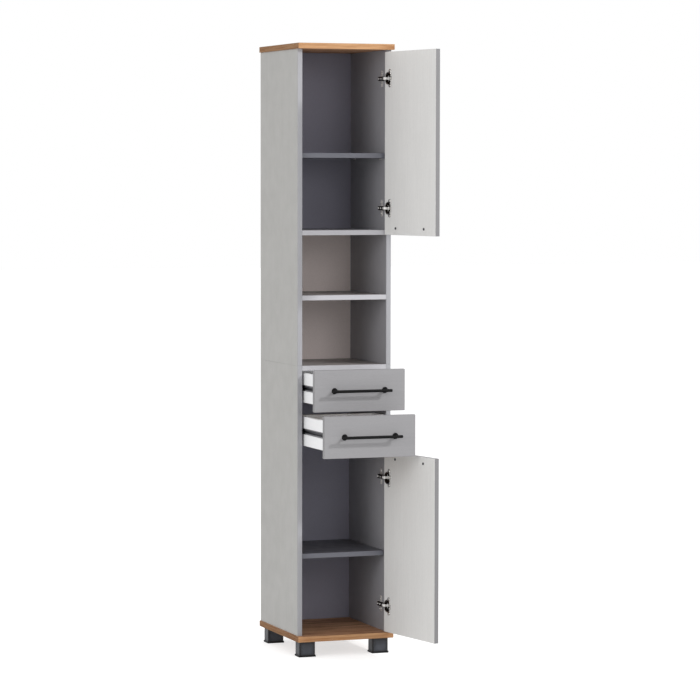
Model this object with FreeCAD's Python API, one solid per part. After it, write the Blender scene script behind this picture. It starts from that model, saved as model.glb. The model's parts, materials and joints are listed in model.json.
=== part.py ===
import FreeCAD, Part
import math
import os

# Tall bathroom cabinet: two hinged doors, two drawers, two open niches.
# Units mm.  X to the right, Y to the back, Z up.  While building, x = 0 is the middle of
# the carcass and y = 0 the front edge of its side panels; the last step moves the origin
# to the floor, in the middle of the space that the open cabinet takes up.

os.makedirs("parts", exist_ok=True)
V = FreeCAD.Vector

# ------------------------------------------------------------------ driving sizes
WIDTH = 300.0            # over the side panels
DEPTH = 350.0            # side panels, front to back
BOARD = 15.0             # sides, shelves, doors and fronts
CAP = 17.0               # top and bottom boards
CAP_SIDE = 4.0           # overhang of the top and bottom boards at each side
CAP_FRONT = 19.0         # overhang at the front
EASE = 0.5               # eased board edges

FOOT_H = 48.0
NICHE_SHELF_UP = 212.0   # from the niche floor's top to the niche shelf's top
DIVIDER_UP = 408.0       # from the niche floor's top to the upper divider's top
UPPER_SHELF_UP = 232.5   # from the divider's top to the upper shelf's top
LOWER_SHELF_UP = 248.0   # from the bottom board's top to the lower shelf's top
SHELF_BACK = 14.0        # setback of the loose shelves
SHELF_PLAY = 0.7         # play of the loose shelves at each end

PANEL = 3.0              # back panels and drawer bottoms
GROOVE = 4.0             # depth of the grooves that hold them
UPPER_BACK_SET = 35.0    # upper and niche backs' front face, in from the rear edge
LOWER_BACK_SET = 23.0    # the same for the lower back
DEEP_SET = 10.0          # rear edge of the divider and the niche floor
BACK_PLAY = 1.5          # loose shelf to back panel

FRONT_SIDE = 6.0         # door or drawer front, in from the side panel's outer face
FRONT_GAP = 2.0          # behind a closed door or front
DOOR_H = 552.0
DOOR_UP = 2.0            # lower door above the bottom board
DOOR_DIVIDER = 0.7       # upper door above the divider's underside
DRAWER_H = 125.0         # drawer fronts
LOWER_FRONT_UP = 3.0     # lower drawer front above the lower door
UPPER_FRONT_UP = 6.0     # upper drawer front above the lower one
NICHE_FLOOR_UP = 6.0     # niche floor's top above the upper drawer front
DOOR_TOP = 6.3           # upper door below the top board

DOOR_ANGLE = 100.5       # the doors stand open at this angle
UPPER_PULL = 118.5       # how far the upper drawer stands out
LOWER_PULL = 206.5       # how far the lower drawer stands out

# concealed hinge
HINGE_END = 80.0         # hinge centre from the door's end
PIN_IN = 10.36           # pin inside the door, from its inner face
PIN_TO_CUP = 13.32       # pin from the cup centre, towards the door's edge
CUP_R = 17.5
CUP_WALL = 0.8
CUP_EDGE = 19.5          # cup centre from the door's edge
CUP_GAP = 0.44           # cup floor under the arm
CUP_FLOOR = 0.6
FLANGE_T = 1.1
FLANGE_R = 19.0
FLANGE_H = 54.0
FLANGE_W = 13.0
FLANGE_SHIFT = 9.5       # screw line from the cup centre
FLANGE_CUT = 0.4         # flange trimmed inside the lugs' outer faces
FLANGE_ROUND = 5.0       # corners of the flange and of the plate's wings
CUP_SCREW = 22.5         # cup screws above and below the centre
LUG_IN = 5.3
LUG_OUT = 8.3
LUG_LEFT = 1.9
LUG_RIGHT = 3.0
LUG_TOP = 2.0
PIN_R = 1.0
PIN_PLAY = 0.05
EYE_R = 1.9
ARM_T = 1.6
ARM_NARROW = 3.5         # half width of the arm inside the cup
ARM_WIDE = 6.5           # half width of the arm over the plate
ARM_WALL = 1.2
ARM_FRONT = 6.6          # arm's channel from here behind the side's front edge
ARM_REAR = 47.0          # to here
ARM_DIP = 1.3            # the arm's lowest point, under the pin
ARM_KNEE_X = 2.1         # from the lowest point to the foot of the rise
ARM_KNEE_Y = 1.6
ARM_PAST = 2.1           # the rise ends this far behind the side's front edge
ARM_OVER = 8.8           # arm web above the side panel
CLAMP_FRONT = 14.0       # clamp screws in front of the plate's middle
CLAMP_REAR = 4.0         # and behind it
PLATE_T = 2.0
PLATE_BLOCK = 4.0
PLATE_Y = 37.0           # plate centre behind the front edge
PLATE_L = 44.0
PLATE_W = 15.0
WING_W = 12.0
WING_H = 50.0
WING_SCREW = 16.0
CLAMP_SPARE = 1.0        # clamp screws end above the side panel

# ball bearing runner
TRAVEL = 215.0           # from closed to fully out
RAIL_Y = 4.0             # outer rail behind the side's front edge
RAIL_REAR = 23.0         # outer rail in front of the lower back
RAIL_H = 17.0
RAIL_T = 1.2
RAIL_FLANGE = 8.6
RAIL_SCREW_FRONT = 26.0  # from the rail's ends
RAIL_SCREW_REAR = 14.0
SLIDE_Y = 2.0
SLIDE_SHORT = 16.0       # inner slide shorter than the outer rail
SLIDE_SCREW_FRONT = 20.0
SLIDE_SCREW_REAR = 36.0
SLIDE_H = 8.2
SLIDE_FROM = 4.2         # inner slide, nearest to the side panel
SLIDE_TO = 12.0          # inner slide, on the drawer's groove
BALL_PLAY = 0.1
BALL_OUT = 6.0
CAGE_L = 60.0
CAGE_T = 0.8
CAGE_WEB = 2.6
CAGE_TO = 8.0
CAGE_SPARE = 0.5         # cage inside the inner slide's end, drawer fully out
BALLS = 4                # in each track
RUNNER_PLAY = 0.6        # drawer side's groove above and below the outer rail

# drawer box
BOX_CLEAR = 7.0          # side panel to drawer side
BOX_T = 12.0
BOX_UP = 20.0            # above the front's lower edge
BOX_TOP = 17.0           # below the front's upper edge
BOX_SHORT = 10.0         # drawer sides shorter than the outer rail
BOTTOM_UP = 10.0
BOX_PIN_LOW = 22.0       # lower screw and dowel above the box's lower edge
BOX_PIN_HIGH = 14.0      # upper ones below its upper edge
BOX_SCREW = 22.0         # bite in the box's back
BOX_PEG_R = 3.0
BOX_PEG_IN = 9.0         # bite in the drawer front
SLIDE_BITE = 6.0         # bite in the box's side

# bar handle
HOLE_SPAN = 160.0
BAR_END = 14.0           # bar beyond each post
BAR_R = 4.5
BAR_EASE = 1.2           # chamfered bar ends
BAR_OUT = 26.0
POST_R = 4.0
FLARE_R = 9.5
FLARE_L = 10.0
DOOR_HANDLE = 20.0       # handle line from the door's end

# feet
FOOT_W = 50.0
FOOT_D = 40.0
FOOT_LIP = 2.0
FOOT_LIP_H = 5.0
FOOT_SIDE = 7.0          # inside the side panel's outer face
FOOT_BACK = 14.0
FOOT_ROUND = 2.5
FOOT_BORE = 6.0
FOOT_WEB = 8.0
FOOT_SCREW = 12.0        # bite of its screw in the bottom board

# fasteners
STUD_SIDES = 8           # small fasteners and their holes
CAM_R = 7.5
CAM_DEEP = 11.5
CAM_AT = 24.0
BOLT_R = 2.5
BOLT_IN = 10.0
BOLT_SHAFT = 1.9
BOLT_HEAD = 2.9
BOLT_HEAD_L = 2.0
BOLT_L = 22.0
BOLT_HOLE = 3.3
BOLT_FRONT = 60.0        # from the sides' front edge
BOLT_REAR = 90.0         # from their rear edge
DOWEL_R = 4.0
DOWEL_L = 30.0
DOWEL_IN = 10.0
DOWEL_FRONT = 100.0
DOWEL_REAR = 130.0
JOIN_FRONT = 30.0        # dowels between the lower and the upper sides
JOIN_MIDDLE = 160.0
JOIN_REAR = 50.0
PIN_FRONT = 50.0         # shelf pins
PIN_REAR = 80.0
PIN_PEG = 2.5
PIN_STUB = 3.2
PIN_PROUD = 7.0
PIN_DEEP = 8.0
PIN_FLAT = 2.2
SCREW_R = 1.6
SCREW_HEAD = 3.4
SCREW_HEAD_H = 1.6
FLAT_HEAD_H = 0.9        # where a runner or a flange passes over the head
SLIDE_HEAD = 2.4
SCREW_BITE = 11.0        # in a side panel or a door
HANDLE_SCREW = 2.0
HANDLE_HEAD = 4.0
HANDLE_HEAD_H = 2.2
HANDLE_BITE = 9.0

# ------------------------------------------------------------------ worked-out levels
HALF = WIDTH / 2
INNER = HALF - BOARD
FRONT_W = WIDTH - 2 * FRONT_SIDE
BASE_Z = FOOT_H + CAP
LOWER_DOOR_Z = BASE_Z + DOOR_UP
LOWER_FRONT_Z = LOWER_DOOR_Z + DOOR_H + LOWER_FRONT_UP
UPPER_FRONT_Z = LOWER_FRONT_Z + DRAWER_H + UPPER_FRONT_UP
FLOOR_Z = UPPER_FRONT_Z + DRAWER_H + NICHE_FLOOR_UP    # the side panels' joint too
NICHE_SHELF_Z = FLOOR_Z + NICHE_SHELF_UP
DIVIDER_Z = FLOOR_Z + DIVIDER_UP
UPPER_DOOR_Z = DIVIDER_Z - BOARD + DOOR_DIVIDER
TOP_Z = UPPER_DOOR_Z + DOOR_H + DOOR_TOP
UPPER_SHELF_Z = DIVIDER_Z + UPPER_SHELF_UP
LOWER_SHELF_Z = BASE_Z + LOWER_SHELF_UP
UPPER_BACK_Y = DEPTH - UPPER_BACK_SET
LOWER_BACK_Y = DEPTH - LOWER_BACK_SET
DEEP_BOARD = DEPTH - DEEP_SET
BOLT_YS = (BOLT_FRONT, DEPTH - BOLT_REAR)
DOWEL_YS = (DOWEL_FRONT, DEPTH - DOWEL_REAR)
JOIN_YS = (JOIN_FRONT, JOIN_MIDDLE, DEPTH - JOIN_REAR)
PIN_YS = (PIN_FRONT, DEPTH - PIN_REAR)
FACE_Y = -FRONT_GAP - BOARD
BOX_X = INNER - BOX_CLEAR
BOX_H = DRAWER_H - BOX_UP - BOX_TOP
RUNNER_UP = BOX_UP + BOX_H / 2
RAIL_L = LOWER_BACK_Y - RAIL_REAR - RAIL_Y
SLIDE_L = RAIL_L - SLIDE_SHORT
BOX_L = RAIL_L - BOX_SHORT
RAIL_SCREW_YS = (RAIL_Y + RAIL_SCREW_FRONT, RAIL_Y + RAIL_L - RAIL_SCREW_REAR)
SLIDE_SCREW_YS = (SLIDE_Y + SLIDE_SCREW_FRONT, SLIDE_Y + SLIDE_L - SLIDE_SCREW_REAR)

# hinge and runner, worked out
PIN_EDGE = CUP_EDGE - PIN_TO_CUP             # pin inside the door's edge
PIVOT_X = FRONT_W / 2 - PIN_EDGE - INNER     # pin outside the side's inner face
PIVOT_Y = FRONT_GAP + PIN_IN                 # pin in front of the side's front edge
PIVOT = V(INNER + PIVOT_X, -PIVOT_Y, 0)
CUP_DEEP = PIN_IN + ARM_DIP + ARM_T / 2 + CUP_GAP
TRACK_IN = SLIDE_H / 2                       # ball track, from slide to rail
TRACK_OUT = RAIL_H / 2 - RAIL_T
BALL_UP = (TRACK_IN + TRACK_OUT) / 2
BALL_R = (TRACK_OUT - TRACK_IN) / 2 - BALL_PLAY
CAGE_UP = BALL_UP + CAGE_T / 2
CAGE_Y = SLIDE_Y + SLIDE_L - TRAVEL / 2 - CAGE_L - CAGE_SPARE
HINGES = {
    "lower": (LOWER_DOOR_Z + HINGE_END, LOWER_DOOR_Z + DOOR_H - HINGE_END),
    "upper": (UPPER_DOOR_Z + HINGE_END, UPPER_DOOR_Z + DOOR_H - HINGE_END),
}
X_DIR = V(1, 0, 0)
Y_DIR = V(0, 1, 0)
Z_DIR = V(0, 0, 1)


# ------------------------------------------------------------------ helpers
def box(x0, x1, y0, y1, z0, z1):
    return Part.makeBox(x1 - x0, y1 - y0, z1 - z0, V(x0, y0, z0))


def board(x0, x1, y0, y1, z0, z1, ease=EASE):
    shape = box(x0, x1, y0, y1, z0, z1)
    return shape.makeChamfer(ease, shape.Edges)


def rod(radius, start, direction, length):
    return Part.makeCylinder(radius, length, start, direction)


def stud(radius, start, direction, length):
    """Eight-sided rod along an axis: small fasteners and their holes, with few faces."""
    across = V(direction.z, direction.x, direction.y)
    up = direction.cross(across)
    corners = []
    for i in range(STUD_SIDES):
        turn = 2 * math.pi * (i + 0.5) / STUD_SIDES
        corners.append(start + (across * math.cos(turn) + up * math.sin(turn)) * radius)
    return Part.Face(Part.makePolygon(corners + corners[:1])).extrude(direction * length)


def ball(radius, centre):
    """Ball with 26 flat faces: what three crossing studs share."""
    bars = [stud(radius, centre - axis * radius, axis, 2 * radius) for axis in (X_DIR, Y_DIR, Z_DIR)]
    return bars[0].common(bars[1]).common(bars[2])


def cut(shape, tools):
    tools = list(tools)
    return shape.cut(tools) if tools else shape


def fuse(shapes):
    first = shapes[0]
    return first.fuse(shapes[1:]).removeSplitter()


def mirror(shape):
    return shape.mirror(V(0, 0, 0), X_DIR)


nodes = {}


def keep(name, shapes):
    nodes[name] = shapes if isinstance(shapes, list) else [shapes]


# ------------------------------------------------------------------ fasteners
def screw(head_at, direction, length, radius=SCREW_R, head=SCREW_HEAD, high=SCREW_HEAD_H):
    """Screw; head_at is the centre of the head's underside."""
    shank = stud(radius, head_at, direction, length)
    top = stud(head, head_at - direction * high, direction, high)
    return fuse([shank, top])


def screw_hole(head_at, direction, length, radius=SCREW_R):
    return stud(radius, head_at, direction, length)


def cam_joint(point, into, outward):
    """Cam and bolt on the joint plane at point; the cam sits in the piece 'into' points to."""
    anchor = stud(BOLT_R, point - into * BOLT_IN, into, BOLT_IN)
    shaft = stud(BOLT_SHAFT, point, into, BOLT_L - BOLT_HEAD_L)
    head = stud(BOLT_HEAD, point + into * (BOLT_L - BOLT_HEAD_L), into, BOLT_HEAD_L)
    bolt = fuse([anchor, shaft, head])
    face = point + into * CAM_AT + outward * (BOARD / 2)
    cam = stud(CAM_R, face - outward * CAM_DEEP, outward, CAM_DEEP)
    inside = stud(BOLT_HOLE, point + into * (CAM_AT - CAM_R - 1), into, CAM_R + 2)
    return {
        "bolt": bolt,
        "cam": cam.cut(inside),
        "anchor_hole": stud(BOLT_R, point - into * BOLT_IN, into, BOLT_IN),
        "bore": stud(CAM_R, face - outward * CAM_DEEP, outward, CAM_DEEP + 1),
        "bolt_hole": stud(BOLT_HOLE, point, into, BOLT_L + 2),
    }


cams, bolts, dowels = [], [], []
side_cuts, board_cuts = [], []


def add_cam(point, into, outward, cam_in_side):
    for flip in (False, True):
        p = V(-point.x, point.y, point.z) if flip else point
        d = V(-into.x, into.y, into.z) if flip else into
        n = V(-outward.x, outward.y, outward.z) if flip else outward
        joint = cam_joint(p, d, n)
        cams.append(joint["cam"])
        bolts.append(joint["bolt"])
        carrier = side_cuts if cam_in_side else board_cuts
        other = board_cuts if cam_in_side else side_cuts
        carrier.extend([joint["bore"], joint["bolt_hole"]])
        other.append(joint["anchor_hole"])


def add_dowel(point, into, before):
    """Dowel across a joint plane: 'before' mm on the near side, the rest beyond."""
    for sign in (1, -1):
        p = V(sign * point.x, point.y, point.z)
        d = V(sign * into.x, into.y, into.z)
        pin = stud(DOWEL_R, p - d * before, d, DOWEL_L)
        dowels.append(pin)
        side_cuts.append(pin)
        board_cuts.append(pin)


MID = INNER + BOARD / 2
for level in (FLOOR_Z, NICHE_SHELF_Z, DIVIDER_Z):
    middle = level - BOARD / 2
    for y in BOLT_YS:
        add_cam(V(INNER, y, middle), V(-1, 0, 0), V(0, 0, -1), False)
    for y in DOWEL_YS:
        add_dowel(V(INNER, y, middle), V(-1, 0, 0), DOWEL_IN)
for y in BOLT_YS:
    add_cam(V(MID, y, TOP_Z), V(0, 0, -1), V(-1, 0, 0), True)
    add_cam(V(MID, y, BASE_Z), V(0, 0, 1), V(-1, 0, 0), True)
for y in DOWEL_YS:
    add_dowel(V(MID, y, TOP_Z), V(0, 0, -1), DOWEL_IN)
    add_dowel(V(MID, y, BASE_Z), V(0, 0, 1), DOWEL_IN)
for y in JOIN_YS:
    add_dowel(V(MID, y, FLOOR_Z), V(0, 0, 1), DOWEL_L / 2)

# ------------------------------------------------------------------ back panels
upper_back = box(-INNER - GROOVE, INNER + GROOVE, UPPER_BACK_Y, UPPER_BACK_Y + PANEL,
                 DIVIDER_Z - GROOVE, TOP_Z + GROOVE)
niche_back = box(-INNER - GROOVE, INNER + GROOVE, UPPER_BACK_Y, UPPER_BACK_Y + PANEL,
                 FLOOR_Z - GROOVE, DIVIDER_Z - BOARD + GROOVE)
lower_back = box(-INNER - GROOVE, INNER + GROOVE, LOWER_BACK_Y, LOWER_BACK_Y + PANEL,
                 BASE_Z - GROOVE, FLOOR_Z - BOARD + GROOVE)
backs = [upper_back, niche_back, lower_back]


# ------------------------------------------------------------------ loose shelves and their pins
def shelf_pin(y, under):
    centre = V(INNER, y, under - PIN_FLAT)
    peg = stud(PIN_PEG, centre, X_DIR, PIN_DEEP)
    stub = rod(PIN_STUB, centre - X_DIR * PIN_PROUD, X_DIR, PIN_PROUD)
    above = box(INNER - PIN_PROUD - 1, INNER + 1, y - PIN_STUB - 1, y + PIN_STUB + 1,
                under, under + PIN_STUB)
    return fuse([peg, stub.cut(above)])


shelf_pins = []
for shelf_top in (UPPER_SHELF_Z, LOWER_SHELF_Z):
    under = shelf_top - BOARD
    for y in PIN_YS:
        pin = shelf_pin(y, under)
        shelf_pins.extend([pin, mirror(pin)])
        hole = stud(PIN_PEG, V(INNER, y, under - PIN_FLAT), X_DIR, PIN_DEEP)
        side_cuts.extend([hole, mirror(hole)])

SHELF_X = INNER - SHELF_PLAY
upper_shelf = board(-SHELF_X, SHELF_X, SHELF_BACK, UPPER_BACK_Y - BACK_PLAY,
                    UPPER_SHELF_Z - BOARD, UPPER_SHELF_Z)
lower_shelf = board(-SHELF_X, SHELF_X, SHELF_BACK, LOWER_BACK_Y - BACK_PLAY,
                    LOWER_SHELF_Z - BOARD, LOWER_SHELF_Z)


# ------------------------------------------------------------------ concealed hinges
def strip(points, thick, half):
    """Bent strip of sheet: points in plan, relative to the pin."""
    pieces = []
    for (ax, ay), (bx, by) in zip(points, points[1:]):
        run = math.hypot(bx - ax, by - ay)
        piece = Part.makeBox(run, thick, 2 * half, V(0, -thick / 2, -half))
        piece.rotate(V(0, 0, 0), Z_DIR, math.degrees(math.atan2(by - ay, bx - ax)))
        piece.translate(V(ax, ay, 0))
        pieces.append(piece)
    for ax, ay in points[1:-1]:
        pieces.append(stud(thick / 2, V(ax, ay, -half), Z_DIR, 2 * half))
    return pieces


SIDE_FACE = -PIVOT_X                 # side panel's inner face seen from the pin
ARM_WEB = SIDE_FACE - ARM_OVER
ARM_FROM = PIVOT_Y + ARM_FRONT
ARM_TO = PIVOT_Y + ARM_REAR
PLATE_MID = PIVOT_Y + PLATE_Y
ARM_SCREW_YS = (PLATE_MID - CLAMP_FRONT, PLATE_MID + CLAMP_REAR)


def hinge_arm():
    """Gooseneck from the pin down into the cup, up out of it and over the side's edge."""
    rise = -PIN_TO_CUP
    neck = strip([(0, 0), (rise + ARM_KNEE_X, -ARM_DIP), (rise, ARM_KNEE_Y),
                  (rise, PIVOT_Y + ARM_PAST), (ARM_WEB, ARM_FROM + ARM_T)], ARM_T, ARM_NARROW)
    neck.append(rod(EYE_R, V(0, 0, -ARM_NARROW), Z_DIR, 2 * ARM_NARROW))
    web = box(ARM_WEB - ARM_T / 2, ARM_WEB + ARM_T / 2, ARM_FROM, ARM_TO, -ARM_WIDE, ARM_WIDE)
    walls = [box(ARM_WEB, SIDE_FACE - PLATE_BLOCK, ARM_FROM, ARM_TO, z, z + ARM_WALL)
             for z in (-ARM_WIDE, ARM_WIDE - ARM_WALL)]
    arm = fuse(neck + [web] + walls)
    bore = rod(PIN_R + PIN_PLAY, V(0, 0, -ARM_NARROW - 1), Z_DIR, 2 * ARM_NARROW + 2)
    holes = [stud(SCREW_R, V(ARM_WEB - ARM_T, y, 0), X_DIR, 2 * ARM_T) for y in ARM_SCREW_YS]
    return arm.cut([bore] + holes)


def hinge_plate():
    wings = box(SIDE_FACE - PLATE_T, SIDE_FACE, PLATE_MID - WING_W / 2, PLATE_MID + WING_W / 2,
                -WING_H / 2, WING_H / 2)
    wings = wings.makeFillet(FLANGE_ROUND, [e for e in wings.Edges
                                            if abs(e.tangentAt(e.FirstParameter).x) > 0.9])
    spine = box(SIDE_FACE - PLATE_BLOCK, SIDE_FACE, PLATE_MID - PLATE_L / 2,
                PLATE_MID + PLATE_L / 2, -PLATE_W / 2, PLATE_W / 2)
    plate = fuse([wings, spine])
    taps = [stud(SCREW_R, V(SIDE_FACE - PLATE_BLOCK, y, 0), X_DIR, PLATE_BLOCK)
            for y in ARM_SCREW_YS]
    holes = [stud(SCREW_R, V(SIDE_FACE - PLATE_T, PLATE_MID, z), X_DIR, PLATE_T)
             for z in (-WING_SCREW, WING_SCREW)]
    return plate.cut(taps + holes)


def hinge_screws():
    """Two screws hold the plate to the side, two clamp the arm to the plate."""
    held = [screw(V(SIDE_FACE - PLATE_T, PLATE_MID, z), X_DIR, PLATE_T + SCREW_BITE)
            for z in (-WING_SCREW, WING_SCREW)]
    clamp = [screw(V(ARM_WEB - ARM_T / 2, y, 0), X_DIR, ARM_OVER + ARM_T / 2 - CLAMP_SPARE)
             for y in ARM_SCREW_YS]
    return held + clamp


DOOR_FACE = PIVOT_Y - FRONT_GAP      # door's inner face seen from the pin
CUP_X = -PIN_TO_CUP
CUP_BOTTOM = DOOR_FACE - CUP_DEEP


def hinge_cup():
    base = V(CUP_X, CUP_BOTTOM - CUP_FLOOR, 0)
    outer = rod(CUP_R, base, Y_DIR, CUP_DEEP + CUP_FLOOR)
    hollow = rod(CUP_R - CUP_WALL, V(CUP_X, CUP_BOTTOM, 0), Y_DIR, CUP_DEEP + 2 * FLANGE_T)
    ring = rod(FLANGE_R, V(CUP_X, DOOR_FACE, 0), Y_DIR, FLANGE_T)
    wing_x = CUP_X - FLANGE_SHIFT
    wing = box(wing_x - FLANGE_W / 2, wing_x + FLANGE_W / 2, DOOR_FACE, DOOR_FACE + FLANGE_T,
               -FLANGE_H / 2, FLANGE_H / 2)
    wing = wing.makeFillet(FLANGE_ROUND, [e for e in wing.Edges
                                            if abs(e.tangentAt(e.FirstParameter).y) > 0.9])
    past = box(LUG_RIGHT - FLANGE_CUT, LUG_RIGHT + FLANGE_R, DOOR_FACE, DOOR_FACE + FLANGE_T,
               -FLANGE_R, FLANGE_R)
    flange = fuse([ring, wing]).cut(past)
    shell = fuse([outer, flange]).cut(hollow)
    lugs = [box(-LUG_LEFT, LUG_RIGHT, CUP_BOTTOM - CUP_FLOOR, LUG_TOP, z, z + LUG_OUT - LUG_IN)
            for z in (-LUG_OUT, LUG_IN)]
    lugs = [lug.common(outer) for lug in lugs]
    cup = fuse([shell] + lugs)
    pin = rod(PIN_R, V(0, 0, -LUG_OUT), Z_DIR, 2 * LUG_OUT)
    holes = [stud(SCREW_R, V(wing_x, DOOR_FACE, z), Y_DIR, FLANGE_T)
             for z in (-CUP_SCREW, CUP_SCREW)]
    return cup.cut([pin] + holes)


def at_hinge(shape, z):
    moved = shape.copy()
    moved.translate(PIVOT + V(0, 0, z))
    return moved


arm_shape = hinge_arm()
plate_shape = hinge_plate()
cup_shape = hinge_cup()
pin_shape = rod(PIN_R, V(0, 0, -LUG_OUT), Z_DIR, 2 * LUG_OUT)
hinge_arms, hinge_plates, hinge_fixings = [], [], []
for heights in HINGES.values():
    for z in heights:
        hinge_arms.append(at_hinge(arm_shape, z))
        hinge_plates.append(at_hinge(plate_shape, z))
        hinge_fixings.extend(at_hinge(s, z) for s in hinge_screws())
        side_cuts.extend(screw_hole(V(INNER, PLATE_Y, z + dz), X_DIR, SCREW_BITE)
                         for dz in (-WING_SCREW, WING_SCREW))


# ------------------------------------------------------------------ runners
def rail():
    """Outer rail on the right side panel, centred on z = 0."""
    y1 = RAIL_Y + RAIL_L
    web = box(INNER - RAIL_T, INNER, RAIL_Y, y1, -RAIL_H / 2, RAIL_H / 2)
    walls = [box(INNER - RAIL_FLANGE, INNER, RAIL_Y, y1, z, z + RAIL_T)
             for z in (-RAIL_H / 2, RAIL_H / 2 - RAIL_T)]
    holes = [stud(SCREW_R, V(INNER - RAIL_T, y, 0), X_DIR, RAIL_T) for y in RAIL_SCREW_YS]
    return fuse([web] + walls).cut(holes)


def slide():
    """Inner slide on the right drawer side, drawer closed, centred on z = 0."""
    x0, x1 = INNER - SLIDE_TO, INNER - SLIDE_FROM
    y0, y1 = SLIDE_Y, SLIDE_Y + SLIDE_L
    web = box(x0, x0 + RAIL_T, y0, y1, -SLIDE_H / 2, SLIDE_H / 2)
    walls = [box(x0, x1, y0, y1, z, z + RAIL_T)
             for z in (-SLIDE_H / 2, SLIDE_H / 2 - RAIL_T)]
    holes = [stud(SCREW_R, V(x0, y, 0), X_DIR, RAIL_T) for y in SLIDE_SCREW_YS]
    return fuse([web] + walls).cut(holes)


def ball_cage():
    x1 = INNER - CAGE_WEB
    y0, y1 = CAGE_Y, CAGE_Y + CAGE_L
    web = box(x1 - CAGE_T, x1, y0, y1, -CAGE_UP, CAGE_UP)
    walls = [box(INNER - CAGE_TO, x1, y0, y1, z, z + CAGE_T)
             for z in (-CAGE_UP, CAGE_UP - CAGE_T)]
    balls = []
    for i in range(BALLS):
        y = y0 + CAGE_L * (i + 0.5) / BALLS
        balls.extend(ball(BALL_R, V(INNER - BALL_OUT, y, s * BALL_UP)) for s in (-1, 1))
    return fuse([web] + walls + balls)


rail_shape = rail()
slide_shape = slide()
cage_shape = ball_cage()
rails, rail_screws = [], []
for front_z in (LOWER_FRONT_Z, UPPER_FRONT_Z):
    z = front_z + RUNNER_UP
    one = rail_shape.translated(V(0, 0, z))
    rails.extend([one, mirror(one)])
    for y in RAIL_SCREW_YS:
        held = screw(V(INNER - RAIL_T, y, z), X_DIR, RAIL_T + SCREW_BITE, high=FLAT_HEAD_H)
        rail_screws.extend([held, mirror(held)])
        hole = screw_hole(V(INNER, y, z), X_DIR, SCREW_BITE)
        side_cuts.extend([hole, mirror(hole)])

# ------------------------------------------------------------------ feet
foot_cuts, foot_screws, feet = [], [], {}
for row, y0 in (("front", 0.0), ("rear", DEPTH - FOOT_BACK - FOOT_D)):
    for side, x0 in (("left", -HALF + FOOT_SIDE), ("right", HALF - FOOT_SIDE - FOOT_W)):
        block = box(x0, x0 + FOOT_W, y0, y0 + FOOT_D, 0, FOOT_H)
        lip = box(x0 - FOOT_LIP, x0 + FOOT_W + FOOT_LIP, y0 - FOOT_LIP, y0 + FOOT_D + FOOT_LIP,
                  0, FOOT_LIP_H)
        foot = fuse([block, lip])
        upright = [e for e in foot.Edges if abs(e.tangentAt(e.FirstParameter).z) > 0.9]
        foot = foot.makeFillet(FOOT_ROUND, upright)
        centre = V(x0 + FOOT_W / 2, y0 + FOOT_D / 2, 0)
        seat = centre + Z_DIR * (FOOT_H - FOOT_WEB)
        held = screw_hole(seat, Z_DIR, FOOT_WEB + FOOT_SCREW)
        foot_screws.append(screw(seat, Z_DIR, FOOT_WEB + FOOT_SCREW))
        foot_cuts.append(held)
        bore = stud(FOOT_BORE, centre, Z_DIR, FOOT_H - FOOT_WEB)
        feet[row + "_" + side] = foot.cut([bore, held])

# ------------------------------------------------------------------ carcass
CAP_X = HALF + CAP_SIDE
carcass = {
    "top_board": (board(-CAP_X, CAP_X, -CAP_FRONT, DEPTH, TOP_Z, TOP_Z + CAP), board_cuts),
    "bottom_board": (board(-CAP_X, CAP_X, -CAP_FRONT, DEPTH, FOOT_H, BASE_Z),
                     board_cuts + foot_cuts),
    "upper_divider": (board(-INNER, INNER, 0, DEEP_BOARD, DIVIDER_Z - BOARD, DIVIDER_Z),
                      board_cuts),
    "niche_shelf": (board(-INNER, INNER, 0, UPPER_BACK_Y, NICHE_SHELF_Z - BOARD, NICHE_SHELF_Z),
                    board_cuts),
    "niche_floor": (board(-INNER, INNER, 0, DEEP_BOARD, FLOOR_Z - BOARD, FLOOR_Z), board_cuts),
}
for side, sign in (("left", -1), ("right", 1)):
    x0, x1 = sorted((sign * INNER, sign * HALF))
    carcass[side + "_side_lower"] = (board(x0, x1, 0, DEPTH, BASE_Z, FLOOR_Z), side_cuts)
    carcass[side + "_side_upper"] = (board(x0, x1, 0, DEPTH, FLOOR_Z, TOP_Z), side_cuts)


def near(shape, tools):
    return [t for t in tools if t.BoundBox.intersect(shape.BoundBox)]


for name, (shape, tools) in carcass.items():
    keep(name, cut(shape, near(shape, list(tools) + backs)))
keep("upper_back_panel", upper_back)
keep("niche_back_panel", niche_back)
keep("lower_back_panel", lower_back)
keep("upper_shelf", upper_shelf)
keep("lower_shelf", lower_shelf)
keep("shelf_pins", shelf_pins)
keep("cam_locks", cams)
keep("cam_bolts", bolts)
keep("wooden_dowels", dowels)
for place, foot in feet.items():
    keep("foot_" + place, foot)
keep("foot_screws", foot_screws)
keep("hinge_arms", hinge_arms)
keep("hinge_plates", hinge_plates)
keep("hinge_screws", hinge_fixings)
keep("runner_rails", rails)
keep("runner_rail_screws", rail_screws)


# ------------------------------------------------------------------ handles
def handle(z):
    """Round bar on two flared posts, on a closed front's outer face at height z."""
    bar_l = HOLE_SPAN + 2 * BAR_END
    bar = rod(BAR_R, V(-bar_l / 2, FACE_Y - BAR_OUT, z), X_DIR, bar_l)
    bar = bar.makeChamfer(BAR_EASE, [bar.Edges[0], bar.Edges[2]])
    posts = []
    for x in (-HOLE_SPAN / 2, HOLE_SPAN / 2):
        start = V(x, FACE_Y, z)
        posts.append(Part.makeCone(FLARE_R, POST_R, FLARE_L, start, -Y_DIR))
        posts.append(rod(POST_R, start - Y_DIR * FLARE_L, -Y_DIR, BAR_OUT - FLARE_L))
    whole = fuse([bar] + posts)
    taps = [stud(HANDLE_SCREW, V(x, FACE_Y - HANDLE_BITE, z), Y_DIR, HANDLE_BITE)
            for x in (-HOLE_SPAN / 2, HOLE_SPAN / 2)]
    return whole.cut(taps)


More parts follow.
